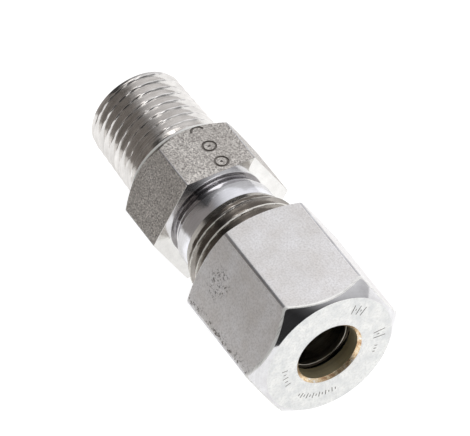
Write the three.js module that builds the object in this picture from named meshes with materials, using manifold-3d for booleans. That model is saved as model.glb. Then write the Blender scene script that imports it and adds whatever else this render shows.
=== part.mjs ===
// Male stud coupling for an 8 mm tube, with a cutting ring: a stud body with a 1/4 inch taper
// thread and an M16 x 1.5 thread, a cutting ring in the body's 24 degree cone, and a union nut.
//
// Millimetres, +Z up. The tube axis runs along X and the tube enters from +X. The coupling lies
// on a flat of its nut, and the origin is on that surface, below the middle of its length.
// Stations along the axis are depths, measured from the nut's front face towards the stud.

import * as THREE from 'three';
import { mergeVertices } from 'three/addons/utils/BufferGeometryUtils.js';
import Module from 'manifold-3d';

const wasm = await Module();
wasm.setup();

// ---------- driving dimensions ----------

const TUBE = 8.0;                       // outside diameter of the tube the coupling takes
const SEGMENTS = 28;                    // facets around every turned surface
const TURN = 2 * Math.PI;
const TAN_CONE = Math.tan(THREE.MathUtils.degToRad(12));   // half of the 24 degree cone

const HEX_NUT = { flats: 19.0, cornerRound: 1.0 };
const HEX_BODY = { flats: 17.0, cornerRound: 0.2 };

// ISO metric thread shared by body and nut
const METRIC = {
  pitch: 1.5, major: 8.0, root: 7.1, nutMinor: 7.26, nutMajor: 8.14,
  phase: 0.0,                           // depth of the body's groove where the helix angle is zero
};
const FLANK_CLEARANCE = 0.035;          // each flank of a groove is opened by this much

// taper pipe thread, 18 threads per inch, 1 in 16 on the diameter
const TAPER = {
  pitch: 25.4 / 18, endRadius: 6.63, slope: 1 / 32, depth: 0.95, length: 12.5, chamfer: 0.2,
  grooveStart: 1.2, fadeLength: 2.2, fadeSlope: 0.6,   // the groove fades out towards the hexagon
};

// depths along the axis
const NUT = {
  length: 17.5, bore: 4.25, mouth: 4.75, faceRadius: 9.0, wall: 2.3,
  recess: 6.2, recessEnd: 5.2, threadStart: 7.0, backRadius: 9.3,
  reliefLead: 0.4, reliefWidth: 0.3, threadLead: 1.2, mouthChamfer: 1.0, mouthPlay: 0.12,
};
const RING = {
  back: 2.9, length: 9.5, inner: TUBE / 2 + 0.06, backRadius: 4.6, collar: 5.65,
  collarEnd: 7.8, neck: 5.3, edgeDepth: 0.22, rearChamfer: 0.15,
  reliefStart: 3.6, rearEdge: 2.2, edgeLand: 0.4, frontEdge: 0.5, tipChamfer: 0.12,  // from the tip
};
const BODY = {
  front: 9.6, coneMouth: 5.15, socket: TUBE / 2 + 0.06, socketDepth: 7.0, bore: 2.5, boreChamfer: 0.6,
  frontRadius: 7.0, threadEnd: 21.7, runOutEnd: 23.2, undercut: 6.95,
  hexFront: 27.0, hexBack: 36.5, backRadius: 7.8,
};
const RING_GAP = 0.12;                  // radial gap between the ring and the body's cone
const OVERCUT = 0.3;                    // a thread tool's outline reaches this far past the surface
const OVERLAP = 0.5;                    // the stud enters the hexagon by this much before they join
const BLANK_RADIUS = 12;                // turning blanks are wider than any hexagon corner
const LENGTH = BODY.hexBack + TAPER.length;
const AXIS_HEIGHT = HEX_NUT.flats / 2;

// ---------- solids ----------

// A closed three.js geometry becomes a solid that can be joined and cut.
function toSolid(geometry) {
  const bare = geometry.index ? geometry.clone() : geometry;
  bare.deleteAttribute('normal');
  bare.deleteAttribute('uv');
  const merged = mergeVertices(bare, 1e-4);
  return new wasm.Manifold(new wasm.Mesh({
    numProp: 3,
    vertProperties: new Float32Array(merged.attributes.position.array),
    triVerts: new Uint32Array(merged.index.array),
  }));
}

// The solid goes back to a three.js geometry.
function toGeometry(solid) {
  const mesh = solid.getMesh();
  const geometry = new THREE.BufferGeometry();
  geometry.setAttribute('position', new THREE.BufferAttribute(mesh.vertProperties, 3));
  geometry.setIndex(new THREE.BufferAttribute(mesh.triVerts, 1));
  geometry.computeVertexNormals();
  return geometry;
}

// A closed profile of [depth, radius] points, turned about the axis. Depth runs towards -X.
function turned(profile) {
  const points = [...profile, profile[0]].map(([depth, radius]) => new THREE.Vector2(radius, -depth));
  return toSolid(new THREE.LatheGeometry(points, SEGMENTS).rotateZ(-Math.PI / 2));
}

// A hexagonal bar along the axis between two depths, with a flat facing up and rounded corners.
function hexBar({ flats, cornerRound }, from, to) {
  const corner = (flats / 2 - cornerRound) / Math.cos(Math.PI / 6);
  const shape = new THREE.Shape();
  for (let k = 0; k < 6; k++) {
    const angle = k * Math.PI / 3;
    shape.absarc(corner * Math.cos(angle), corner * Math.sin(angle), cornerRound,
      angle - Math.PI / 6, angle + Math.PI / 6, false);
  }
  const bar = new THREE.ExtrudeGeometry(shape, { depth: to - from, bevelEnabled: false, curveSegments: 3 });
  return toSolid(bar.rotateY(Math.PI / 2).rotateX(Math.PI / 2).translate(-to, 0, 0));
}

// A section of [axial, radius] points, swept along a right-hand helix. The section is extruded
// straight first, and then each step of the extrusion is carried round the axis. The helix passes
// the depth called phase where its angle is zero, and radiusAt(depth) moves the section's radii.
function helix(section, pitch, fromDepth, toDepth, phase, radiusAt = () => 0) {
  const deepest = phase + Math.ceil((toDepth - phase) / pitch) * pitch;
  const steps = Math.ceil((deepest - fromDepth) / pitch) * SEGMENTS;
  const shape = new THREE.Shape(section.map(([axial, radius]) => new THREE.Vector2(axial, radius)));
  const sweep = new THREE.ExtrudeGeometry(shape, { depth: steps, steps, bevelEnabled: false });
  const position = sweep.attributes.position;
  for (let i = 0; i < position.count; i++) {
    const step = position.getZ(i);
    const angle = step / SEGMENTS * TURN;
    const x = -deepest + pitch * step / SEGMENTS;
    const radius = position.getY(i) + radiusAt(-x);
    position.setXYZ(i, x + position.getX(i), radius * Math.cos(angle), radius * Math.sin(angle));
  }
  return toSolid(sweep);
}

// The groove that a 60 degree tool leaves: narrow at the root, widening past the crest.
function grooveSection(pitch, root, crest) {
  const halfRoot = pitch / 16 + FLANK_CLEARANCE;
  const reach = (crest - root) + OVERCUT * Math.sign(crest - root);
  const halfOpen = halfRoot + Math.abs(reach) * Math.tan(Math.PI / 6);
  const points = [[-halfRoot, root], [halfRoot, root], [halfOpen, root + reach], [-halfOpen, root + reach]];
  return reach > 0 ? points : points.reverse();
}

// ---------- stud body ----------

function studBody() {
  const coneEnd = BODY.front + (BODY.coneMouth - BODY.socket) / TAN_CONE;
  const chamfer = METRIC.major - BODY.frontRadius;
  const stud = TAPER.endRadius + TAPER.length * TAPER.slope;
  const bored = [
    [BODY.front, BODY.coneMouth], [coneEnd, BODY.socket],
    [BODY.front + BODY.socketDepth, BODY.socket], [BODY.front + BODY.socketDepth, BODY.bore],
    [LENGTH - BODY.boreChamfer, BODY.bore], [LENGTH, BODY.bore + BODY.boreChamfer],
  ];
  const outside = [
    [LENGTH, TAPER.endRadius - TAPER.chamfer], [LENGTH - TAPER.chamfer, TAPER.endRadius],
    [BODY.hexBack, stud], [BODY.hexBack - OVERLAP, stud], [BODY.hexBack - OVERLAP, BODY.undercut],
    [BODY.hexFront, BODY.undercut], [BODY.runOutEnd, BODY.undercut], [BODY.threadEnd, METRIC.major],
    [BODY.front + chamfer, METRIC.major], [BODY.front, BODY.frontRadius],
  ];
  const spindle = turned([...bored, ...outside]);

  const metricGroove = helix(grooveSection(METRIC.pitch, METRIC.root, METRIC.major),
    METRIC.pitch, BODY.front - METRIC.pitch, BODY.runOutEnd, METRIC.phase);

  // the taper thread's die stops short of the hexagon, and its groove fades out there
  const fadeStart = BODY.hexBack + TAPER.fadeLength;
  const taperRadius = (depth) =>
    (LENGTH - depth) * TAPER.slope + Math.max(0, fadeStart - depth) * TAPER.fadeSlope;
  const root = TAPER.endRadius - TAPER.depth;
  const taperGroove = helix(grooveSection(TAPER.pitch, root, TAPER.endRadius),
    TAPER.pitch, BODY.hexBack + TAPER.grooveStart, LENGTH + TAPER.pitch / 2, 0, taperRadius);

  return spindle.subtract(metricGroove).subtract(taperGroove).add(bodyHexagon());
}

// The body's hexagon: square-faced towards the nut, chamfered towards the stud.
function bodyHexagon() {
  const { hexFront, hexBack, backRadius, bore } = BODY;
  const blank = turned([
    [hexFront, bore], [hexBack, bore], [hexBack, backRadius],
    [hexBack - (BLANK_RADIUS - backRadius), BLANK_RADIUS], [hexFront, BLANK_RADIUS],
  ]);
  return hexBar(HEX_BODY, hexFront, hexBack).intersect(blank);
}

// ---------- cutting ring ----------

function cuttingRing() {
  const tip = RING.back + RING.length;
  const coneRadius = (depth) => BODY.coneMouth - RING_GAP - (depth - BODY.front) * TAN_CONE;
  const neckStart = BODY.front - (RING.neck - coneRadius(BODY.front)) / TAN_CONE;
  const relief = RING.inner + RING.edgeDepth;
  const inside = [
    [RING.back, RING.inner + RING.rearChamfer], [RING.back + RING.rearChamfer, RING.inner],
    [tip - RING.reliefStart, RING.inner], [tip - RING.rearEdge, relief],
    [tip - RING.rearEdge, RING.inner], [tip - RING.rearEdge + RING.edgeLand, RING.inner],
    [tip - RING.frontEdge, relief], [tip - RING.frontEdge, RING.inner],
    [tip - RING.tipChamfer, RING.inner], [tip, RING.inner + RING.tipChamfer],
  ];
  const outside = [
    [tip, coneRadius(tip)], [neckStart, RING.neck], [RING.collarEnd, RING.collar],
    [RING.back + RING.collar - RING.backRadius, RING.collar], [RING.back, RING.backRadius],
  ];
  return turned([...inside, ...outside]);
}

// ---------- union nut ----------

function unionNut() {
  const { length, bore, mouth, faceRadius, wall, recess, recessEnd, threadStart, backRadius } = NUT;
  const shoulderEnd = wall + (recess - bore);
  const slopeBack = Math.tan(Math.PI / 6);
  const hollow = [
    [0, mouth], [mouth - bore, bore], [wall, bore], [shoulderEnd, recess], [recessEnd, recess],
    [threadStart - NUT.reliefLead, METRIC.nutMajor], [threadStart + NUT.reliefWidth, METRIC.nutMajor],
    [threadStart + NUT.threadLead, METRIC.nutMinor], [length - NUT.mouthChamfer, METRIC.nutMinor],
    [length, METRIC.nutMajor + NUT.mouthPlay],
  ];
  const outside = [
    [length, backRadius], [length - (BLANK_RADIUS - backRadius) * slopeBack, BLANK_RADIUS],
    [BLANK_RADIUS - faceRadius, BLANK_RADIUS], [0, faceRadius],
  ];
  const blank = hexBar(HEX_NUT, 0, length).intersect(turned([...hollow, ...outside]));
  const groove = helix(grooveSection(METRIC.pitch, METRIC.nutMajor, METRIC.nutMinor),
    METRIC.pitch, threadStart, length + METRIC.pitch / 2, METRIC.phase + METRIC.pitch / 2);
  return blank.subtract(groove);
}

// ---------- assembly ----------

function steel(colour, roughness) {
  return new THREE.MeshStandardMaterial({ color: colour, roughness, metalness: 1.0 });
}

const coupling = new THREE.Group();

function addPart(name, solid, material) {
  const mesh = new THREE.Mesh(toGeometry(solid), material);
  mesh.name = name;
  coupling.add(mesh);
}

addPart('stud_body', studBody(), steel(0xa8a29c, 0.38));
addPart('cutting_ring', cuttingRing(), steel(0x8f8a7c, 0.30));
addPart('union_nut', unionNut(), steel(0xc4c3c6, 0.32));

coupling.position.set(LENGTH / 2, 0, AXIS_HEIGHT);

export default coupling;
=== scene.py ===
# %% [markdown]
# # A male stud coupling for an 8 mm tube
#
# The real thing is three turned pieces of stainless steel: a stud body, a cutting ring that bites into
# the tube, and a union nut that screws over both. The design, the sizes and the motion come from the
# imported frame. This lesson gives each piece its finished surface: rounded edges, true threads, stamped
# marks, and a finish for each way the steel was worked.

import math

import bmesh
import bpy
import numpy as np
from mathutils import Matrix, Vector


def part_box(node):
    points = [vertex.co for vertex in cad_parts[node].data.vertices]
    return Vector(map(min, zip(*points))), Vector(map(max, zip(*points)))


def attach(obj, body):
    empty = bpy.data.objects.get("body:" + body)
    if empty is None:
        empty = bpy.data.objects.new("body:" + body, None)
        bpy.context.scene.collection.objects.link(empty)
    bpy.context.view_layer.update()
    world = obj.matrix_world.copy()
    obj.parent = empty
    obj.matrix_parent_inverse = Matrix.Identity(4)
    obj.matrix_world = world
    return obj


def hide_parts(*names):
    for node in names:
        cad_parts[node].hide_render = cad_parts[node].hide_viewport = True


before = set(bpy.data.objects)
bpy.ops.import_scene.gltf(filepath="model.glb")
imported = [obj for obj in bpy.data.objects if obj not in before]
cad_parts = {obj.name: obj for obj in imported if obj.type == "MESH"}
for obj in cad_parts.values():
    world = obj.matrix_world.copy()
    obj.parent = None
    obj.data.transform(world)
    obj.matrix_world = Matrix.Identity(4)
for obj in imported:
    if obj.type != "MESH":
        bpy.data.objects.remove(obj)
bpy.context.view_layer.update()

# %% [markdown]
# ## Sizes
#
# Every size starts from the frame. The tube axis runs along X at half the height of the nut, and places
# along it are depths behind the nut's front face, as a turner would measure them. What a box cannot
# tell, such as a thread pitch or a cone angle, is a standard size with its own name.

# %% Driving sizes
MM = 0.001
nut_low, nut_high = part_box("union_nut")
ring_low, ring_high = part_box("cutting_ring")
stud_low, stud_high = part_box("stud_body")

FACE_X = nut_high.x
AXIS_Z = (nut_low.z + nut_high.z) / 2
NUT_FLATS = nut_high.z - nut_low.z
NUT_LENGTH = nut_high.x - nut_low.x
HEX_FLATS = stud_high.z - stud_low.z
STUD_END = FACE_X - stud_low.x
CONE_FACE = FACE_X - stud_high.x
RING_BACK = FACE_X - ring_high.x
RING_TIP = FACE_X - ring_low.x
RING_COLLAR = (ring_high.z - ring_low.z) / 2
print("nut %.1f x %.1f mm, body hexagon %.1f mm, overall %.1f mm"
      % (NUT_FLATS / MM, NUT_LENGTH / MM, HEX_FLATS / MM, STUD_END / MM))

# %% Standard sizes
TUBE_BORE = 8.12 * MM / 2
NUT_BORE = 8.5 * MM / 2
NUT_MOUTH = 4.68 * MM
NUT_WALL = 2.3 * MM
NUT_SEAT_END = 5.2 * MM
NUT_RECESS_START = 6.6 * MM
NUT_FACE_RADIUS = 9.0 * MM
NUT_BACK_RADIUS = 9.3 * MM
NUT_CORNER = 0.8 * MM
RING_SEAT = 6.2 * MM

FLOW_BORE = 2.5 * MM
FLOW_CHAMFER = 0.6 * MM
CONE_MOUTH = 5.15 * MM
TUBE_STOP = CONE_FACE + 7.0 * MM
CONE_SLOPE = math.tan(math.radians(12))
NECK = 6.98 * MM
NECK_END = CONE_FACE + 16.35 * MM
GROOVE = 6.3 * MM
HEX_FRONT = CONE_FACE + 17.4 * MM
HEX_BACK = CONE_FACE + 26.9 * MM
HEX_BACK_RADIUS = 7.8 * MM
RIM_LAND = 0.3 * MM
HEX_CORNER = 0.2 * MM

METRIC_PITCH = 1.5 * MM
METRIC_CREST = 8.0 * MM
METRIC_ROOT = 7.1 * MM
METRIC_END = CONE_FACE + 13.6 * MM
METRIC_RUN_OUT = 2.0 * MM
NUT_THREAD_CREST = 7.26 * MM
NUT_THREAD_ROOT = 8.14 * MM
NUT_THREAD_START = 7.0 * MM

TAPER_PITCH = 25.4 * MM / 18
TAPER_CREST = 6.63 * MM
TAPER_DEPTH = 0.95 * MM
TAPER_SLOPE = 1 / 32
TAPER_CHAMFER = 0.2 * MM
TAPER_FADE = 2.0 * MM
TAPER_END_FADE = 0.9 * MM

# %% [markdown]
# ## The camera and the studio
#
# Such a part is shown with a long lens on a white table. The long lens keeps the two hexagons almost the
# same size although one is further away. The camera stands at the tube end, a little
# to the nut's right, and looks down at about 46 degrees.

# %% Camera
CAMERA_AZIMUTH = math.radians(-30.2)
CAMERA_ELEVATION = math.radians(45.92)
CAMERA_ROLL = math.radians(0.34)
CAMERA_DISTANCE = 837 * MM
CAMERA_LENS = 510
AIM = Vector((1.0 * MM, 0, 12.69 * MM))


def towards(azimuth, elevation):
    """A unit vector for a compass direction from +X and a height above the floor."""
    flat = math.cos(elevation)
    return Vector((flat * math.cos(azimuth), flat * math.sin(azimuth), math.sin(elevation)))


def add_camera():
    data = bpy.data.cameras.new("studio_camera")
    data.lens = CAMERA_LENS
    data.sensor_width = 36
    data.clip_start = 0.05
    data.clip_end = 50
    camera = bpy.data.objects.new("studio_camera", data)
    bpy.context.scene.collection.objects.link(camera)
    back = towards(CAMERA_AZIMUTH, CAMERA_ELEVATION)
    turn = back.to_track_quat("Z", "Y").to_matrix().to_4x4()
    roll = Matrix.Rotation(CAMERA_ROLL, 4, "Z")
    camera.matrix_world = Matrix.Translation(AIM + back * CAMERA_DISTANCE) @ turn @ roll
    bpy.context.scene.camera = camera
    print("camera at", tuple(round(v, 3) for v in camera.matrix_world.translation))


add_camera()

# %% [markdown]
# ## Node helpers
#
# A finish is a small network of nodes. These helpers add one node at a time and join it up, so that each
# finish below reads as a recipe. Noise is always read from Object coordinates, moved so that the tube
# axis is the zero line, which lets a pattern follow the turning of the lathe.

# %% Node helpers


class Recipe:
    """A new material and the few calls that its nodes are made with."""

    def __init__(self, name):
        self.material = bpy.data.materials.new(name)
        self.material.use_nodes = True
        self.tree = self.material.node_tree
        self.shader = self.tree.nodes["Principled BSDF"]
        place = self.tree.nodes.new("ShaderNodeTexCoord")
        centre = self.tree.nodes.new("ShaderNodeMapping")
        centre.inputs["Location"].default_value = (-FACE_X, 0, -AXIS_Z)
        self.join(place.outputs["Object"], centre.inputs["Vector"])
        self.place = centre.outputs["Vector"]

    def join(self, source, target):
        self.tree.links.new(source, target)

    def feed(self, socket, value):
        if isinstance(value, bpy.types.NodeSocket):
            self.join(value, socket)
        else:
            socket.default_value = value

    def math(self, operation, a, b=0.0, clamp=False):
        node = self.tree.nodes.new("ShaderNodeMath")
        node.operation = operation
        node.use_clamp = clamp
        self.feed(node.inputs[0], a)
        self.feed(node.inputs[1], b)
        return node.outputs[0]

    def noise(self, scale, detail=4.0, roughness=0.55, where=None):
        node = self.tree.nodes.new("ShaderNodeTexNoise")
        node.inputs["Scale"].default_value = scale
        node.inputs["Detail"].default_value = detail
        node.inputs["Roughness"].default_value = roughness
        self.join(where or self.place, node.inputs["Vector"])
        return node.outputs["Fac"]

    def spread(self, value, low, high, to_low=0.0, to_high=1.0):
        node = self.tree.nodes.new("ShaderNodeMapRange")
        self.feed(node.inputs["Value"], value)
        for name, number in (("From Min", low), ("From Max", high), ("To Min", to_low), ("To Max", to_high)):
            node.inputs[name].default_value = number
        return node.outputs["Result"]

    def blend(self, factor, a, b):
        node = self.tree.nodes.new("ShaderNodeMix")
        node.data_type = "RGBA"
        self.feed(node.inputs["Factor"], factor)
        for socket, value in ((node.inputs[6], a), (node.inputs[7], b)):
            self.feed(socket, value if isinstance(value, bpy.types.NodeSocket) else (*value, 1))
        return node.outputs[2]

    def lathe(self):
        """Coordinates of turning marks: along the axis, and out from it, but the same all round."""
        split = self.tree.nodes.new("ShaderNodeSeparateXYZ")
        self.join(self.place, split.inputs[0])
        across = self.math("MULTIPLY", split.outputs["Y"], split.outputs["Y"])
        up = self.math("MULTIPLY", split.outputs["Z"], split.outputs["Z"])
        radius = self.math("SQRT", self.math("ADD", across, up))
        node = self.tree.nodes.new("ShaderNodeCombineXYZ")
        self.join(split.outputs["X"], node.inputs["X"])
        self.join(radius, node.inputs["Y"])
        return node.outputs[0]

    def near(self, point, radius, along=1.0):
        """One close to a point, fading to nothing at the radius. With along at 0, the point is a line."""
        squeeze = self.tree.nodes.new("ShaderNodeMapping")
        squeeze.inputs["Scale"].default_value = (along, 1, 1)
        self.join(self.place, squeeze.inputs["Vector"])
        node = self.tree.nodes.new("ShaderNodeVectorMath")
        node.operation = "DISTANCE"
        self.join(squeeze.outputs["Vector"], node.inputs[0])
        node.inputs[1].default_value = (along * point[0], point[1], point[2])
        return self.spread(node.outputs["Value"], 0.0, radius, 1.0, 0.0)

    def bump(self, height, strength, distance):
        node = self.tree.nodes.new("ShaderNodeBump")
        node.inputs["Strength"].default_value = strength
        node.inputs["Distance"].default_value = distance
        self.join(height, node.inputs["Height"])
        return node.outputs["Normal"]

    def steel(self, colour, roughness, normal=None, metallic=1.0):
        self.shader.inputs["Metallic"].default_value = metallic
        self.feed(self.shader.inputs["Base Color"], colour)
        self.feed(self.shader.inputs["Roughness"], roughness)
        if normal:
            self.join(normal, self.shader.inputs["Normal"])
        print("finish:", self.material.name)
        return self.material


# %% [markdown]
# ## Finishes of the stud body
#
# The body is cut from hexagon bar. Its six flats keep the grain of the drawn and blasted bar: a fine
# salt-and-pepper texture with no direction. What the lathe touched is smoother and carries fine rings,
# and the neck behind the thread was left almost polished by the grooving tool.

# %% Blasted flats
def blasted_bar_steel():
    recipe = Recipe("blasted_bar_steel")
    grain = recipe.noise(5000, detail=3, roughness=0.75)
    coarse = recipe.noise(1900, detail=3, roughness=0.6)
    clouds = recipe.noise(240, detail=4)
    tone = recipe.blend(recipe.spread(grain, 0.40, 0.60), (0.17, 0.15, 0.14), (0.92, 0.88, 0.83))
    tone = recipe.blend(recipe.spread(coarse, 0.40, 0.62, 0.0, 0.4), tone, (0.56, 0.53, 0.50))
    tone = recipe.blend(recipe.spread(clouds, 0.35, 0.7, 0.0, 0.35), tone, (0.31, 0.28, 0.25))
    roughness = recipe.spread(grain, 0.3, 0.7, 0.58, 0.42)
    normal = recipe.bump(grain, 0.55, 0.016 * MM)
    return recipe.steel(tone, roughness, normal, metallic=0.42)


# %% Turned steel
def turned_steel(name, dark, light, rough, line_scale=2600, lines=0.35, metallic=1.0):
    recipe = Recipe(name)
    rings = recipe.noise(line_scale, detail=2, where=recipe.lathe())
    clouds = recipe.noise(420, detail=4)
    tone = recipe.blend(recipe.spread(clouds, 0.3, 0.7), dark, light)
    shade = [0.72 * part for part in dark]
    tone = recipe.blend(recipe.spread(rings, 0.35, 0.6, lines, 0.0), tone, shade)
    roughness = recipe.spread(rings, 0.3, 0.7, rough * 0.8, rough * 1.25)
    normal = recipe.bump(rings, lines, 0.006 * MM)
    return recipe.steel(tone, roughness, normal, metallic)


BLASTED = blasted_bar_steel()
THREAD = turned_steel("cut_thread_steel", (0.68, 0.66, 0.64), (0.86, 0.84, 0.82), 0.16)
# The metric thread between the two hexagons: a darker copy of the cut thread steel, painted shade.
FINE_THREAD_SHADE = turned_steel("fine_thread_painted_shade_steel", (0.30, 0.28, 0.26), (0.46, 0.43, 0.40), 0.18)
# Thread crests: a lighter, barely metallic copy of the thread steel, a painted highlight along every crest.
CREST_HIGHLIGHT = turned_steel("crest_painted_highlight_steel", (0.86, 0.83, 0.76), (0.95, 0.93, 0.88), 0.35, metallic=0.3)
TURNED = turned_steel("turned_face_steel", (0.74, 0.73, 0.71), (0.86, 0.85, 0.83), 0.10, lines=0.08)
# Thin rims at the bore's mouth, the nut's front edges and the back of the body's hexagon: a near-white,
# barely metallic copy of turned steel, a painted highlight.
RIM_HIGHLIGHT = turned_steel("rim_painted_highlight_steel", (0.88, 0.87, 0.84), (0.97, 0.96, 0.94), 0.3, metallic=0.2)
POLISHED = turned_steel("polished_neck_steel", (0.78, 0.78, 0.82), (0.93, 0.93, 0.97), 0.2, 1500, 0.25)
# The groove between the neck and the hexagon: a dark copy of turned steel, painted shade.
GROOVE_SHADE = turned_steel("groove_painted_shade_steel", (0.34, 0.33, 0.35), (0.52, 0.51, 0.54), 0.08, lines=0.1)
# Bores, the nut's recess and its inner thread: a dark brown copy of turned steel, painted shade of the
# hollows.
BORE_SHADE = turned_steel("bored_painted_shade_steel", (0.34, 0.31, 0.27), (0.46, 0.42, 0.37), 0.28)

# %% [markdown]
# ## Finishes of the nut and the ring
#
# The nut was rolled in a drum with stones, so its flats are an even satin with faint smudges, its edges
# are rubbed smooth, and its front face is nearly white. The bevel at the mouth of its bore and the bore
# itself carry a warm, golden film of the wax that stops stainless steel from seizing. The hardened ring
# is a darker grey.

# %% Satin nut
SIDE_FLAT = math.radians(150)
LOWER_CORNER = math.radians(180)
CORNER_REACH = NUT_FLATS / 2 / math.cos(math.pi / 6)


def satin_nut_steel():
    recipe = Recipe("satin_nut_steel")
    grain = recipe.noise(3900, detail=3, roughness=0.65)
    smudge = recipe.noise(330, detail=5, roughness=0.62)
    stain = recipe.noise(150, detail=3)
    tone = recipe.blend(recipe.spread(smudge, 0.32, 0.68), (0.85, 0.82, 0.80), (0.97, 0.96, 0.97))
    tone = recipe.blend(recipe.spread(stain, 0.45, 0.7, 0.0, 0.3), tone, (0.62, 0.58, 0.54))
    tone = recipe.blend(recipe.spread(grain, 0.30, 0.60, 0.45, 0.0), tone, (0.42, 0.40, 0.38))
    tone = recipe.blend(pitted_patches(recipe), tone, (0.12, 0.10, 0.09))
    roughness = recipe.spread(smudge, 0.3, 0.7, 0.38, 0.48)
    normal = recipe.bump(grain, 0.3, 0.01 * MM)
    return recipe.steel(tone, roughness, normal, metallic=0.45)


def pitted_patches(recipe):
    """Small pits near the back of the nut's side flat and along its lower corner, where dirt is held."""
    reach = NUT_FLATS / 2
    patch = (-(NUT_LENGTH - 4.2 * MM), reach * math.cos(SIDE_FLAT), reach * math.sin(SIDE_FLAT))
    corner = (0, CORNER_REACH * math.cos(LOWER_CORNER), CORNER_REACH * math.sin(LOWER_CORNER))
    pits = recipe.spread(recipe.noise(3300, detail=4, roughness=0.75), 0.53, 0.60)
    dirt = recipe.spread(recipe.noise(2300, detail=4, roughness=0.75), 0.54, 0.60)
    stamped = recipe.math("MULTIPLY", pits, recipe.spread(recipe.near(patch, 2.8 * MM), 0.1, 0.5))
    edge = recipe.spread(recipe.near(corner, 2.0 * MM, along=0.0), 0.25, 0.6)
    return recipe.math("ADD", stamped, recipe.math("MULTIPLY", dirt, edge), clamp=True)


# %% Front face, waxed bore and ring
def bright_face_steel():
    recipe = Recipe("bright_face_steel")
    rings = recipe.noise(1500, detail=2, where=recipe.lathe())
    clouds = recipe.noise(640, detail=5, roughness=0.65)
    grain = recipe.noise(3300, detail=3, roughness=0.6)
    tone = recipe.blend(recipe.spread(clouds, 0.36, 0.62), (0.72, 0.73, 0.73), (0.90, 0.90, 0.88))
    tone = recipe.blend(recipe.spread(grain, 0.3, 0.55, 0.5, 0.0), tone, (0.60, 0.60, 0.58))
    roughness = recipe.spread(clouds, 0.3, 0.7, 0.34, 0.44)
    normal = recipe.bump(rings, 0.2, 0.006 * MM)
    return recipe.steel(tone, roughness, normal, metallic=0.8)


def waxed_bevel_steel():
    recipe = Recipe("waxed_bevel_steel")
    film = recipe.noise(1100, detail=4, roughness=0.7)
    tone = recipe.blend(recipe.spread(film, 0.36, 0.52), (0.52, 0.30, 0.16), (0.93, 0.74, 0.48))
    tone = recipe.blend(recipe.spread(film, 0.52, 0.66), tone, (0.96, 0.93, 0.88))
    return recipe.steel(tone, 0.26, recipe.bump(film, 0.3, 0.01 * MM), metallic=0.8)


SATIN = satin_nut_steel()
BRIGHT = bright_face_steel()
RUBBED = turned_steel("rubbed_edge_steel", (0.46, 0.45, 0.46), (0.68, 0.68, 0.70), 0.24, 500, 0.1, 0.85)
WAXED = waxed_bevel_steel()
WAXED_BORE = turned_steel("waxed_bore_steel", (0.52, 0.45, 0.27), (0.70, 0.62, 0.42), 0.38, metallic=0.7)
CHAMFER = turned_steel("bright_chamfer_steel", (0.62, 0.61, 0.62), (0.80, 0.80, 0.81), 0.10, lines=0.15)
# Walls of the stamped furrows: a near-black copy of turned steel, painted shade inside the marks.
STAMP_SHADE = turned_steel("stamp_painted_shade_steel", (0.15, 0.135, 0.12), (0.25, 0.23, 0.21), 0.4, metallic=0.6)
RING = turned_steel("hardened_ring_steel", (0.42, 0.40, 0.36), (0.58, 0.55, 0.50), 0.22)

# %% [markdown]
# ## Lofting turned and hexagonal pieces
#
# All three pieces are hollow and go round one axis, so each can be described by its half section. A plain
# lathe cannot make a hexagon with rounded corners and a turned chamfer, where the edge between chamfer
# and flat is a curve. So the section is worked out again for every angle round the axis, and the sections
# are joined into one closed skin. Corners of a section carry a small radius, because it is the rounded
# edges that catch the light.

# %% Angles and hexagon radius
FLAT_STEPS = 14
CORNER_STEPS = 8


def off_middle(angle):
    """Angle from the middle of the nearest flat, with one flat on top."""
    return abs((angle - math.pi / 2 + math.pi / 6) % (math.pi / 3) - math.pi / 6)


def flat_end(flats, corner):
    """Angle from the middle of a flat to where the rounding of its corner begins."""
    half = flats / 2
    return math.atan((half - corner) * math.tan(math.pi / 6) / half)


def on_corner(angle, flats, corner, share=1.0):
    """True on the given middle share of a rounded corner."""
    arc = math.pi / 6 - flat_end(flats, corner)
    return math.pi / 6 - off_middle(angle) < arc * share


def round_angles(flats, corner):
    """Angles for one turn: even on the flats, close together round each corner."""
    tangent = flat_end(flats, corner)
    on_flat = np.linspace(-tangent, tangent, FLAT_STEPS, endpoint=False)
    round_corner = np.linspace(tangent, math.pi / 3 - tangent, CORNER_STEPS, endpoint=False)
    sector = np.concatenate([on_flat, round_corner])
    return np.concatenate([math.pi / 2 + k * math.pi / 3 + sector for k in range(6)])


def hexagon_radius(angle, flats, corner):
    """Distance from the axis to a hexagon with a flat on top and rounded corners."""
    half = flats / 2
    off_flat = off_middle(angle)
    if off_flat <= flat_end(flats, corner):
        return half / math.cos(off_flat)
    centre = (half - corner) / math.cos(math.pi / 6)
    off_corner = math.pi / 6 - off_flat
    return centre * math.cos(off_corner) + math.sqrt(corner**2 - (centre * math.sin(off_corner))**2)


# %% Rounded sections
ARC_STEPS = 4


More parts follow.
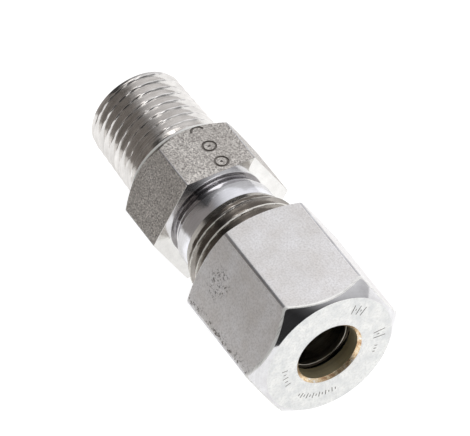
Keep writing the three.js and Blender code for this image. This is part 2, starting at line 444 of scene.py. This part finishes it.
def rounded(section):
    """A closed section of (depth, radius, edge radius, finish) with an arc in place of each corner.
    A fifth entry is the finish of the arc itself. Returns the points, and the finish of the surface
    that leaves each of them."""
    points, finishes = [], []
    count = len(section)
    for i, (depth, radius, edge, finish, *arc_finish) in enumerate(section):
        here = np.array([depth, radius])
        before = np.array(section[i - 1][:2]) - here
        after = np.array(section[(i + 1) % count][:2]) - here
        long_before, long_after = np.linalg.norm(before), np.linalg.norm(after)
        if edge == 0:
            points.append(here)
            finishes.append(finish)
            continue
        before, after = before / long_before, after / long_after
        half = math.acos(max(-1.0, min(1.0, float(before @ after)))) / 2
        reach = min(edge / math.tan(half), 0.45 * long_before, 0.45 * long_after)
        size = reach * math.tan(half)
        middle = here + (before + after) / np.linalg.norm(before + after) * size / math.sin(half)
        start, end = here + before * reach - middle, here + after * reach - middle
        sweep = math.atan2(start[0] * end[1] - start[1] * end[0], start @ end)
        for step in range(ARC_STEPS + 1):
            turn = sweep * step / ARC_STEPS
            cos, sin = math.cos(turn), math.sin(turn)
            turned = np.array([start[0] * cos - start[1] * sin, start[0] * sin + start[1] * cos])
            points.append(middle + turned)
            if step == ARC_STEPS:
                finishes.append(finish)
            elif arc_finish:
                finishes.append(arc_finish[0])
            else:
                finishes.append(finish if step >= ARC_STEPS // 2 else section[i - 1][3])
    return points, finishes


# %% Lofting
SHARP = math.radians(32)


def new_piece(name, mesh):
    piece = bpy.data.objects.new(name, mesh)
    bpy.context.scene.collection.objects.link(piece)
    return piece


def mark_sharp(bm):
    """Smooth faces, with sharp edges where two of them meet at an angle."""
    for face in bm.faces:
        face.smooth = True
    for edge in bm.edges:
        if len(edge.link_faces) == 2:
            edge.smooth = edge.calc_face_angle() < SHARP


def tidy_shading(bm):
    bmesh.ops.recalc_face_normals(bm, faces=bm.faces)
    mark_sharp(bm)


def loft(name, section_at, angles):
    """A closed hollow piece. section_at(angle) gives its section, with as many corners at every angle."""
    bm = bmesh.new()
    columns, column_finishes, slots = [], [], []
    for angle, following in zip(angles, [*angles[1:], angles[0] + 2 * math.pi]):
        points, _ = rounded(section_at(angle))
        _, finishes = rounded(section_at((angle + following) / 2))
        column_finishes.append(finishes)
        slots += [finish for finish in dict.fromkeys(finishes) if finish not in slots]
        columns.append([bm.verts.new((FACE_X - depth, radius * math.cos(angle),
                                      AXIS_Z + radius * math.sin(angle))) for depth, radius in points])
    rows = len(columns[0])
    for j, column in enumerate(columns):
        beside = columns[(j + 1) % len(columns)]
        for i in range(rows):
            ahead = (i + 1) % rows
            face = bm.faces.new((column[i], column[ahead], beside[ahead], beside[i]))
            face.material_index = slots.index(column_finishes[j][i])
    tidy_shading(bm)
    mesh = bpy.data.meshes.new(name)
    bm.to_mesh(mesh)
    bm.free()
    for finish in slots:
        mesh.materials.append(finish)
    print("lofted %s: %d faces, %d finishes" % (name, len(mesh.polygons), len(slots)))
    return new_piece(name, mesh)


# %% [markdown]
# ## The stud body
#
# The section runs in at the cone, down the tube socket and the flow bore, round the end of the stud and
# back over the hexagon and the neck. The threads are separate skins that sit on plain cylinders, so the
# section keeps just below their roots.

# %% Stud body
UNDER_THREAD = 0.25 * MM
NECK_UNDER_THREAD = 0.3 * MM


def stud_section(angle):
    corner = hexagon_radius(angle, HEX_FLATS, HEX_CORNER)
    cone_end = CONE_FACE + (CONE_MOUTH - TUBE_BORE) / CONE_SLOPE
    under_metric = METRIC_ROOT - UNDER_THREAD
    under_taper = TAPER_CREST - TAPER_DEPTH - UNDER_THREAD
    neck_start = METRIC_END - NECK_UNDER_THREAD
    hexagon = RUBBED if on_corner(angle, HEX_FLATS, HEX_CORNER) else BLASTED
    fine, small, soft = 0.05 * MM, 0.12 * MM, 0.2 * MM
    chamfer_start = HEX_BACK - RIM_LAND
    return [
        (CONE_FACE, CONE_MOUTH, fine, BORE_SHADE), (cone_end, TUBE_BORE, 0, BORE_SHADE),
        (TUBE_STOP, TUBE_BORE, 0, BORE_SHADE), (TUBE_STOP, FLOW_BORE, small, BORE_SHADE),
        (STUD_END - FLOW_CHAMFER, FLOW_BORE, 0, BORE_SHADE),
        (STUD_END, FLOW_BORE + FLOW_CHAMFER, fine, TURNED),
        (STUD_END, under_taper, 0, TURNED), (HEX_BACK, under_taper, 0, TURNED),
        # The rim land at the back of the hexagon takes the rim finish, a painted highlight.
        (HEX_BACK, HEX_BACK_RADIUS, fine, RIM_HIGHLIGHT), (chamfer_start, HEX_BACK_RADIUS, fine, TURNED),
        (chamfer_start - (corner - HEX_BACK_RADIUS), corner, 0.08 * MM, hexagon),
        # The groove and its shoulder take the groove finish, painted shade.
        (HEX_FRONT, corner, 0.07 * MM, TURNED), (HEX_FRONT, GROOVE, soft, GROOVE_SHADE),
        (NECK_END, GROOVE, soft, GROOVE_SHADE), (NECK_END, NECK, small, POLISHED),
        (neck_start, NECK, 0, TURNED), (neck_start, under_metric, 0, TURNED),
        (CONE_FACE, under_metric, 0, TURNED),
    ]


stud = loft("stud_turned_body", stud_section, round_angles(HEX_FLATS, HEX_CORNER))
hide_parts("stud_body")

# %% [markdown]
# ## The cutting ring
#
# The ring's nose is a thin cone with two cutting edges inside, and a collar behind it takes the push of
# the nut. Its back edge is the bright arc that shows deep in the nut's bore.

# %% Cutting ring
RING_GAP = 0.12 * MM
RING_STEP = 0.32 * MM
RING_RELIEF = 0.2 * MM
RING_BACK_RADIUS = 4.6 * MM
FIRST_EDGE = (0.0 * MM, 0.5 * MM)
SECOND_EDGE = (1.8 * MM, 2.2 * MM)
RELIEF_END = 3.6 * MM
COLLAR_FRONT = (1.4 * MM, 1.8 * MM)


def ring_section(angle):
    """The same at every angle, because the ring is round. The edges are depths back from its tip."""
    nose = CONE_MOUTH - RING_GAP - (RING_TIP - CONE_FACE) * CONE_SLOPE
    step = CONE_MOUTH - RING_GAP + RING_STEP
    relief = TUBE_BORE + RING_RELIEF
    fine, small = 0.04 * MM, 0.12 * MM
    back = RING_BACK_RADIUS
    return [
        (RING_BACK, TUBE_BORE, small, RING), (RING_TIP - RELIEF_END, TUBE_BORE, 0, RING),
        (RING_TIP - SECOND_EDGE[1], relief, 0, RING), (RING_TIP - SECOND_EDGE[1], TUBE_BORE, fine, RING),
        (RING_TIP - SECOND_EDGE[0], TUBE_BORE, fine, RING), (RING_TIP - FIRST_EDGE[1], relief, 0, RING),
        (RING_TIP - FIRST_EDGE[1], TUBE_BORE, fine, RING),
        (RING_TIP - FIRST_EDGE[0], TUBE_BORE, fine, RING), (RING_TIP, nose, fine, RING),
        (CONE_FACE - COLLAR_FRONT[0], step, small, RING),
        (CONE_FACE - COLLAR_FRONT[1], RING_COLLAR, small, RING),
        (RING_BACK + RING_COLLAR - back, RING_COLLAR, small, RING), (RING_BACK, back, small, RING),
    ]


ROUND_STEPS = 120
ROUND_ANGLES = np.arange(ROUND_STEPS) * (2 * math.pi / ROUND_STEPS)
ring = loft("ring_turned", ring_section, ROUND_ANGLES)
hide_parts("cutting_ring")

# %% [markdown]
# ## The union nut
#
# The hexagon is chamfered by the lathe at both ends. The front chamfer is steep and bright, and where it
# meets a flat the drum has rolled the edge over.

# %% Union nut
RUBBED_SHARE = 0.4


def nut_section(angle):
    corner = hexagon_radius(angle, NUT_FLATS, NUT_CORNER)
    back_drop = (corner - NUT_BACK_RADIUS) * math.tan(math.pi / 6)
    seat_end = NUT_WALL + RING_SEAT - NUT_BORE
    under = NUT_THREAD_ROOT + UNDER_THREAD
    fine, small, rolled = 0.06 * MM, 0.15 * MM, 0.6 * MM
    flat = RUBBED if on_corner(angle, NUT_FLATS, NUT_CORNER, RUBBED_SHARE) else SATIN
    return [
        # The bore's mouth and the rolled front edge take the rim finish, a painted highlight.
        (0, NUT_MOUTH, 0.1 * MM, WAXED, RIM_HIGHLIGHT), (NUT_MOUTH - NUT_BORE, NUT_BORE, fine, WAXED_BORE),
        (NUT_WALL, NUT_BORE, fine, BORE_SHADE), (seat_end, RING_SEAT, 0, BORE_SHADE),
        (NUT_SEAT_END, RING_SEAT, 0, BORE_SHADE), (NUT_RECESS_START, under, 0, BORE_SHADE),
        (NUT_LENGTH, under, fine, TURNED),
        (NUT_LENGTH, NUT_BACK_RADIUS, small, TURNED), (NUT_LENGTH - back_drop, corner, small, flat),
        (corner - NUT_FACE_RADIUS, corner, rolled, CHAMFER, RIM_HIGHLIGHT), (0, NUT_FACE_RADIUS, small, BRIGHT),
    ]


nut = loft("nut_hexagon_shell", nut_section, round_angles(NUT_FLATS, NUT_CORNER))
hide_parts("union_nut")

# %% [markdown]
# ## Stamped marks
#
# Both hexagons are stamped. Here the stamps are plain rings, bars and dots in the places where a maker
# puts size and material. Each stamp is a furrow cut in the metal: a thin rod laid half into the surface
# and taken away from it, so that the mark has real depth and catches the light.

# %% Furrows
ROD_SIDES = 6
FURROW_SINK = 0.15


def lay_rod(bm, path, normal, width, closed=False):
    """A thin rod along a path on a surface, to be cut out of it."""
    rings = []
    count = len(path)
    for i, point in enumerate(path):
        ahead = path[(i + 1) % count] if closed else path[min(i + 1, count - 1)]
        before = path[i - 1] if closed else path[max(i - 1, 0)]
        side = (ahead - before).normalized().cross(normal).normalized()
        middle = point + normal * width / 2 * FURROW_SINK
        turns = [2 * math.pi * k / ROD_SIDES for k in range(ROD_SIDES)]
        rings.append([bm.verts.new(middle + (side * math.cos(t) + normal * math.sin(t)) * width / 2)
                      for t in turns])
    for i in range(count if closed else count - 1):
        ring_a, ring_b = rings[i], rings[(i + 1) % count]
        for k in range(ROD_SIDES):
            ahead = (k + 1) % ROD_SIDES
            bm.faces.new((ring_a[k], ring_a[ahead], ring_b[ahead], ring_b[k]))
    if not closed:
        bm.faces.new(rings[0])
        bm.faces.new(rings[-1])


def engrave(piece, bm):
    """Take the rods in bm out of the piece."""
    bmesh.ops.recalc_face_normals(bm, faces=bm.faces)
    rods = new_piece("rods", bpy.data.meshes.new("rods"))
    bm.to_mesh(rods.data)
    bm.free()
    # The furrow walls take the painted shade finish.
    rods.data.materials.append(STAMP_SHADE)
    cut = piece.modifiers.new("cut", "BOOLEAN")
    cut.operation = "DIFFERENCE"
    cut.solver = "EXACT"
    cut.material_mode = "TRANSFER"
    cut.object = rods
    before = len(piece.data.polygons)
    mesh = bpy.data.meshes.new_from_object(piece.evaluated_get(bpy.context.evaluated_depsgraph_get()))
    piece.modifiers.remove(cut)
    piece.data = mesh
    bpy.data.objects.remove(rods)
    shaded = bmesh.new()
    shaded.from_mesh(mesh)
    mark_sharp(shaded)
    shaded.to_mesh(mesh)
    shaded.free()
    print("engraved %s: %d faces became %d" % (piece.name, before, len(mesh.polygons)))


# %% Marks on the body's top flat
def ring_path(centre, across, along, radius, start=0, end=360, steps=20):
    """Points of an arc. A whole turn leaves out its last point, because it is closed."""
    whole = end - start == 360
    turns = [math.radians(start + (end - start) * k / steps) for k in range(steps + (0 if whole else 1))]
    return [centre + (across * math.cos(t) + along * math.sin(t)) * radius for t in turns]


BODY_FURROW = 0.34 * MM
BODY_MARK_SIDE = 0.9 * MM
BODY_MARK_DEPTHS = (1.5 * MM, 4.6 * MM, 7.5 * MM)
BODY_MARK_RADIUS = 0.85 * MM
HALF_DOT = 0.16 * MM


def mark_body():
    """Two rings with a dot in the middle, and part of a third."""
    bm = bmesh.new()
    up, across, along = Vector((0, 0, 1)), Vector((0, 1, 0)), Vector((1, 0, 0))
    top = AXIS_Z + HEX_FLATS / 2
    places = [Vector((FACE_X - HEX_FRONT - depth, BODY_MARK_SIDE, top)) for depth in BODY_MARK_DEPTHS]
    for place in places[:2]:
        lay_rod(bm, ring_path(place, across, along, BODY_MARK_RADIUS), up, BODY_FURROW, closed=True)
        lay_rod(bm, [place - across * HALF_DOT, place + across * HALF_DOT], up, BODY_FURROW)
    lay_rod(bm, ring_path(places[2], across, along, BODY_MARK_RADIUS, 190, 350), up, BODY_FURROW)
    engrave(stud, bm)


mark_body()

# %% Marks on the nut's front face
FACE_FURROW = 0.13 * MM


def mark_nut_face():
    """Groups of short bars round the bore, at angles from +Y towards +Z."""
    bm = bmesh.new()
    out = Vector((1, 0, 0))

    def stroke(angle, radius, length):
        """A short bar that points to the axis."""
        radial = Vector((0, math.cos(angle), math.sin(angle)))
        centre = Vector((FACE_X, 0, AXIS_Z)) + radial * radius
        lay_rod(bm, [centre - radial * length / 2, centre + radial * length / 2], out, FACE_FURROW)

    for degrees in (48, 55, 62):
        stroke(math.radians(degrees), 7.1 * MM, 1.4 * MM)
    for degrees in (51.5, 58.5):
        stroke(math.radians(degrees), 7.1 * MM, 0.3 * MM)
    for degrees in (-4, 4):
        stroke(math.radians(degrees), 7.2 * MM, 1.7 * MM)
    for degrees in (0, -16, -20, -24):
        stroke(math.radians(degrees), 7.0 * MM, 0.4 * MM)
    for k in range(13):
        stroke(math.radians(-130 + 4 * k), 6.7 * MM, (0.4 + 0.4 * (k % 2)) * MM)
    for k in range(5):
        stroke(math.radians(178 + 6 * k), 6.4 * MM, (0.8 - 0.4 * (k % 2)) * MM)
    engrave(nut, bm)


mark_nut_face()

# %% [markdown]
# ## Threads by rule
#
# A thread is one rule repeated: the radius depends only on how far a point is from the nearest turn of
# the helix. Geometry Nodes can state that rule directly. A flat grid is rolled round the axis, and each
# point's radius comes from its place in the pitch: root, 60 degree flank, crest. The same tree makes the
# outside threads and the thread inside the nut, because only the two radii change places. At its ends the
# tooth sinks away, and near the hexagon the groove fades out, where the cutting die stopped.

# %% Thread tree
CREST_SKIN = 0.04 * MM
THREAD_SIZES = (
    "Start", "End", "Pitch", "Phase", "Root Radius", "Crest Radius", "Taper",
    "Wall Radius", "Root Flat", "Crest Flat", "Lead In", "Lead Out", "End Land", "Fade", "End Fade",
)


class Rule:
    """The calls that the thread tree is built with."""

    def __init__(self, tree):
        self.tree = tree

    def node(self, kind, **sockets):
        made = self.tree.nodes.new(kind)
        for name, value in sockets.items():
            self.feed(made.inputs[name.replace("_", " ")], value)
        return made

    def feed(self, socket, value):
        if isinstance(value, bpy.types.NodeSocket):
            self.tree.links.new(value, socket)
        else:
            socket.default_value = value

    def math(self, operation, a, b=0.0, clamp=False):
        made = self.tree.nodes.new("ShaderNodeMath")
        made.operation = operation
        made.use_clamp = clamp
        self.feed(made.inputs[0], a)
        self.feed(made.inputs[1], b)
        return made.outputs[0]


def rolled_grid(rule, size, rows, columns, radius_of):
    """A unit grid rolled round the axis between the depths Start and End."""
    grid = rule.node("GeometryNodeMeshGrid", Size_X=1.0, Size_Y=1.0, Vertices_X=rows, Vertices_Y=columns)
    place = rule.node("ShaderNodeSeparateXYZ", Vector=rule.node("GeometryNodeInputPosition").outputs[0])
    along = rule.math("ADD", place.outputs["X"], 0.5)
    round_share = rule.math("ADD", place.outputs["Y"], 0.5)
    span = rule.math("SUBTRACT", size["End"], size["Start"])
    depth = rule.math("ADD", size["Start"], rule.math("MULTIPLY", along, span))
    radius = radius_of(rule, size, depth, round_share)
    angle = rule.math("MULTIPLY", round_share, 2 * math.pi)
    across = rule.math("MULTIPLY", radius, rule.math("COSINE", angle))
    up = rule.math("MULTIPLY", radius, rule.math("SINE", angle))
    spot = rule.node("ShaderNodeCombineXYZ", X=rule.math("SUBTRACT", FACE_X, depth), Y=across,
                     Z=rule.math("ADD", up, AXIS_Z))
    moved = rule.node("GeometryNodeSetPosition", Geometry=grid.outputs["Mesh"], Position=spot.outputs[0])
    return moved.outputs[0]


def thread_radius(rule, size, depth, round_share):
    """Radius of the thread at a depth and a share of a turn."""
    turns = rule.math("DIVIDE", rule.math("SUBTRACT", depth, size["Phase"]), size["Pitch"])
    cycle = rule.math("FRACT", rule.math("ADD", turns, round_share))
    from_crest = rule.math("ABSOLUTE", rule.math("SUBTRACT", rule.math("MULTIPLY", cycle, 2.0), 1.0))
    from_root = rule.math("SUBTRACT", 1.0, from_crest)
    flank = rule.math("SUBTRACT", rule.math("SUBTRACT", 1.0, size["Root Flat"]), size["Crest Flat"])
    tooth = rule.math("DIVIDE", rule.math("SUBTRACT", from_root, size["Root Flat"]), flank, clamp=True)
    before_end = rule.math("SUBTRACT", size["End"], depth)
    after_start = rule.math("SUBTRACT", depth, size["Start"])
    faded = rule.math("SUBTRACT", 1.0, rule.math("DIVIDE", after_start, size["Fade"]))
    tooth = rule.math("MAXIMUM", tooth, faded)
    end_faded = rule.math("SUBTRACT", 1.0, rule.math("DIVIDE", before_end, size["End Fade"]))
    tooth = rule.math("MAXIMUM", tooth, end_faded)
    tooth = rule.math("MINIMUM", tooth, rule.math("DIVIDE", after_start, size["Lead In"]))
    run_out = rule.math("ADD", before_end, size["End Land"])
    tooth = rule.math("MINIMUM", tooth, rule.math("DIVIDE", run_out, size["Lead Out"]))
    height = rule.math("SUBTRACT", size["Crest Radius"], size["Root Radius"])
    cone = rule.math("MULTIPLY", before_end, size["Taper"])
    level = rule.math("ADD", size["Root Radius"], rule.math("MULTIPLY", tooth, height))
    return rule.math("SUBTRACT", level, cone)


def wall_radius(rule, size, depth, round_share):
    return size["Wall Radius"]


def on_crest(rule, size):
    """True for the faces on the flat top of the tooth, which take the crest finish: a painted highlight on
    the metric thread.
    """
    place = rule.node("ShaderNodeSeparateXYZ", Vector=rule.node("GeometryNodeInputPosition").outputs[0])
    up = rule.math("SUBTRACT", place.outputs["Z"], AXIS_Z)
    across_squared = rule.math("MULTIPLY", place.outputs["Y"], place.outputs["Y"])
    radius = rule.math("SQRT", rule.math("ADD", across_squared, rule.math("MULTIPLY", up, up)))
    return rule.math("GREATER_THAN", radius, rule.math("SUBTRACT", size["Crest Radius"], CREST_SKIN))


def thread_tree():
    tree = bpy.data.node_groups.new("thread_by_rule", "GeometryNodeTree")
    interface = tree.interface
    interface.new_socket("Geometry", in_out="OUTPUT", socket_type="NodeSocketGeometry")
    for name in THREAD_SIZES:
        interface.new_socket(name, in_out="INPUT", socket_type="NodeSocketFloat")
    for name in ("Rows", "Columns"):
        interface.new_socket(name, in_out="INPUT", socket_type="NodeSocketInt")
    for name in ("Finish", "Crest Finish"):
        interface.new_socket(name, in_out="INPUT", socket_type="NodeSocketMaterial")
    rule = Rule(tree)
    size = rule.node("NodeGroupInput").outputs
    skin = rolled_grid(rule, size, size["Rows"], size["Columns"], thread_radius)
    wall = rolled_grid(rule, size, 2, size["Columns"], wall_radius)
    back = rule.node("GeometryNodeFlipFaces", Mesh=wall).outputs[0]
    join = rule.node("GeometryNodeJoinGeometry")
    for part in (skin, back):
        tree.links.new(part, join.inputs[0])
    real = rule.node("GeometryNodeRealizeInstances", Geometry=join.outputs[0])
    plain = rule.node("GeometryNodeSetMaterial", Geometry=real.outputs[0], Material=size["Finish"])
    done = rule.node("GeometryNodeSetMaterial", Geometry=plain.outputs[0], Selection=on_crest(rule, size),
                     Material=size["Crest Finish"])
    tree.links.new(done.outputs[0], rule.node("NodeGroupOutput").inputs[0])
    return tree


THREAD_TREE = thread_tree()
print("thread tree: %d nodes" % len(THREAD_TREE.nodes))

# %% [markdown]
# The tree leaves two open skins, the thread and the plain wall behind it. Python then closes the seam and
# the two ends, so that the sleeve is one solid.

# %% Thread sleeves
COLUMNS = 144
SEAM = 0.0005 * MM


def thread_sleeve(name, finish, crest_finish, rows, **sizes):
    piece = new_piece(name, bpy.data.meshes.new(name))
    modifier = piece.modifiers.new("thread", "NODES")
    modifier.node_group = THREAD_TREE
    wanted = {"Rows": rows, "Columns": COLUMNS + 1, "Finish": finish, "Crest Finish": crest_finish}
    wanted.update({key.replace("_", " "): value for key, value in sizes.items()})
    for item in THREAD_TREE.interface.items_tree:
        if item.in_out == "INPUT":
            modifier[item.identifier] = wanted[item.name]
    evaluated = piece.evaluated_get(bpy.context.evaluated_depsgraph_get())
    mesh = bpy.data.meshes.new_from_object(evaluated)
    piece.modifiers.remove(modifier)
    piece.data = mesh
    close_sleeve(mesh)
    print("thread %s: %d faces" % (name, len(mesh.polygons)))
    return piece


def close_sleeve(mesh):
    bm = bmesh.new()
    bm.from_mesh(mesh)
    bmesh.ops.remove_doubles(bm, verts=bm.verts, dist=SEAM)
    rims = [edge for edge in bm.edges if len(edge.link_faces) == 1]
    middle = sum(vert.co.x for vert in bm.verts) / len(bm.verts)
    for far in (False, True):
        rim = [edge for edge in rims if (edge.verts[0].co.x > middle) == far]
        bmesh.ops.bridge_loops(bm, edges=rim)
    tidy_shading(bm)
    bm.to_mesh(mesh)
    bm.free()


# %% The three threads
BURIED = 0.22
NO_FADE = 0.001 * MM
METRIC_LEAD_IN = 0.9 * MM
ROOT_FLAT = 0.17
CREST_FLAT = 0.13

# The metric thread takes the painted shade finish, and its crests the painted highlight finish.
metric_thread = thread_sleeve(
    "stud_metric_thread", FINE_THREAD_SHADE, CREST_HIGHLIGHT, 260,
    Start=CONE_FACE + 0.02 * MM, End=METRIC_END + BURIED * METRIC_RUN_OUT, Pitch=METRIC_PITCH, Phase=0.0,
    Root_Radius=METRIC_ROOT, Crest_Radius=METRIC_CREST, Taper=0.0,
    Wall_Radius=METRIC_ROOT - 2 * UNDER_THREAD, Root_Flat=ROOT_FLAT, Crest_Flat=CREST_FLAT,
    Lead_In=METRIC_LEAD_IN, Lead_Out=METRIC_RUN_OUT, End_Land=-BURIED * METRIC_RUN_OUT,
    Fade=NO_FADE, End_Fade=NO_FADE)
taper_thread = thread_sleeve(
    "stud_taper_thread", THREAD, THREAD, 230,
    Start=HEX_BACK - 0.05 * MM, End=STUD_END - 0.01 * MM, Pitch=TAPER_PITCH, Phase=0.0,
    Root_Radius=TAPER_CREST - TAPER_DEPTH, Crest_Radius=TAPER_CREST, Taper=-TAPER_SLOPE,
    Wall_Radius=TAPER_CREST - TAPER_DEPTH - 2 * UNDER_THREAD, Root_Flat=0.15, Crest_Flat=0.12,
    Lead_In=0.001 * MM, Lead_Out=TAPER_DEPTH, End_Land=TAPER_DEPTH - TAPER_CHAMFER,
    Fade=TAPER_FADE, End_Fade=TAPER_END_FADE)
nut_thread = thread_sleeve(
    "nut_inner_thread", BORE_SHADE, BORE_SHADE, 190,
    Start=NUT_THREAD_START, End=NUT_LENGTH - 0.02 * MM, Pitch=METRIC_PITCH, Phase=METRIC_PITCH / 2,
    Root_Radius=NUT_THREAD_ROOT, Crest_Radius=NUT_THREAD_CREST, Taper=0.0,
    Wall_Radius=NUT_THREAD_ROOT + 2 * UNDER_THREAD, Root_Flat=ROOT_FLAT, Crest_Flat=CREST_FLAT,
    Lead_In=METRIC_LEAD_IN, Lead_Out=METRIC_LEAD_IN, End_Land=0.0, Fade=NO_FADE, End_Fade=NO_FADE)

# %% [markdown]
# ## Riding on the bodies
#
# Each piece moves with one body of the frame: the body stays, the ring slides, and the nut slides and
# turns.

# %% Bodies
for piece, body, slot in (
        (stud, "body", "body_steel"), (metric_thread, "body", "body_steel"),
        (taper_thread, "body", "body_steel"), (ring, "ring", "ring_steel"),
        (nut, "nut", "nut_steel"), (nut_thread, "nut", "nut_steel")):
    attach(piece, body)

# %% [markdown]
# ## Studio
#
# Steel has no colour of its own: it shows the room. The coupling lies on a light table, a white sheet lit
# from below, so that its undersides shine white and no shadow is left. A big soft box hangs above. The
# camera's side of the room is dark, and a dark card that the camera does not see curves round on the left,
# because only something dark gives a polished thread its contrast.

# %% Light table
TABLE_HALF = 3.0
TABLE_GLOW = 0.93


def add_light_table():
    mesh = bpy.data.meshes.new("light_table")
    corners = [(-1, -1), (1, -1), (1, 1), (-1, 1)]
    mesh.from_pydata([(x * TABLE_HALF, y * TABLE_HALF, 0) for x, y in corners], [], [(0, 1, 2, 3)])
    table = new_piece("light_table", mesh)
    recipe = Recipe("lit_white_sheet")
    tone = recipe.blend(recipe.noise(40, detail=2), (0.29, 0.29, 0.29), (0.31, 0.31, 0.31))
    recipe.feed(recipe.shader.inputs["Base Color"], tone)
    recipe.shader.inputs["Roughness"].default_value = 0.9
    recipe.shader.inputs["Emission Color"].default_value = (1, 1, 1, 1)
    recipe.shader.inputs["Emission Strength"].default_value = TABLE_GLOW
    mesh.materials.append(recipe.material)


add_light_table()

# %% Dark card
CARD_AZIMUTH = -118
CARD_DISTANCE = 46 * MM
CARD_HEIGHT = 60 * MM
CARD_SPREAD = 64
CARD_COLUMNS = 30


def add_dark_card():
    """A curved card from the left of the camera to behind the stud. Only the steel sees it."""
    points = []
    for step in range(CARD_COLUMNS + 1):
        azimuth = math.radians(CARD_AZIMUTH + CARD_SPREAD * (2 * step / CARD_COLUMNS - 1))
        foot = towards(azimuth, 0) * CARD_DISTANCE
        points += [foot, foot + Vector((0, 0, CARD_HEIGHT))]
    faces = [(2 * i, 2 * i + 2, 2 * i + 3, 2 * i + 1) for i in range(CARD_COLUMNS)]
    mesh = bpy.data.meshes.new("dark_card")
    mesh.from_pydata(points, [], faces)
    card = new_piece("dark_card", mesh)
    recipe = Recipe("dark_paper")
    tone = recipe.blend(recipe.noise(60, detail=2), (0.24, 0.22, 0.205), (0.31, 0.285, 0.262))
    recipe.feed(recipe.shader.inputs["Base Color"], tone)
    recipe.shader.inputs["Roughness"].default_value = 0.9
    mesh.materials.append(recipe.material)
    card.visible_camera = False
    card.visible_shadow = False
    card.visible_diffuse = False


add_dark_card()

# %% Room light
# Each tone belongs to the cosine of the angle from the bright side of the room.
BRIGHT_SIDE = Vector((-0.20, 0.75, 0.63))
ROOM_TONES = ((-1.0, 0.04), (0.0, 0.03), (0.2, 0.08), (0.45, 0.38), (0.66, 0.72), (0.82, 0.94), (1.0, 1.0))


def add_room():
    world = bpy.data.worlds.new("studio_room")
    world.use_nodes = True
    tree = world.node_tree
    link = tree.links.new
    direction = tree.nodes.new("ShaderNodeTexCoord").outputs["Generated"]
    facing = tree.nodes.new("ShaderNodeVectorMath")
    facing.operation = "DOT_PRODUCT"
    link(direction, facing.inputs[0])
    facing.inputs[1].default_value = BRIGHT_SIDE.normalized()
    to_share = tree.nodes.new("ShaderNodeMapRange")
    link(facing.outputs["Value"], to_share.inputs["Value"])
    to_share.inputs["From Min"].default_value = -1.0
    ramp = tree.nodes.new("ShaderNodeValToRGB")
    link(to_share.outputs["Result"], ramp.inputs["Fac"])
    while len(ramp.color_ramp.elements) < len(ROOM_TONES):
        ramp.color_ramp.elements.new(0.5)
    for element, (facing_value, grey) in zip(ramp.color_ramp.elements, ROOM_TONES):
        element.position = (facing_value + 1) / 2
        element.color = (grey * 0.98, grey * 0.98, grey, 1)
    room = tree.nodes.new("ShaderNodeBackground")
    link(ramp.outputs["Color"], room.inputs["Color"])
    plain = tree.nodes.new("ShaderNodeBackground")
    plain.inputs["Color"].default_value = (1, 1, 1, 1)
    seen = tree.nodes.new("ShaderNodeLightPath")
    mix = tree.nodes.new("ShaderNodeMixShader")
    link(seen.outputs["Is Camera Ray"], mix.inputs["Fac"])
    link(room.outputs[0], mix.inputs[1])
    link(plain.outputs[0], mix.inputs[2])
    output = tree.nodes.new("ShaderNodeOutputWorld")
    for old in [n for n in tree.nodes if n.type == "OUTPUT_WORLD" and n != output]:
        tree.nodes.remove(old)
    link(mix.outputs[0], output.inputs["Surface"])
    bpy.context.scene.world = world


add_room()

# %% Soft box
def add_soft_box(name, azimuth, elevation, distance, size, power):
    data = bpy.data.lights.new(name, "AREA")
    data.shape = "SQUARE"
    data.size = size
    data.energy = power
    lamp = bpy.data.objects.new(name, data)
    bpy.context.scene.collection.objects.link(lamp)
    back = towards(math.radians(azimuth), math.radians(elevation))
    turn = back.to_track_quat("Z", "Y").to_matrix().to_4x4()
    lamp.matrix_world = Matrix.Translation(back * distance) @ turn


add_soft_box("overhead_soft_box", azimuth=60, elevation=80, distance=1.2, size=0.8, power=4)

view = bpy.context.scene.view_settings
view.view_transform = "Standard"
view.look = "None"
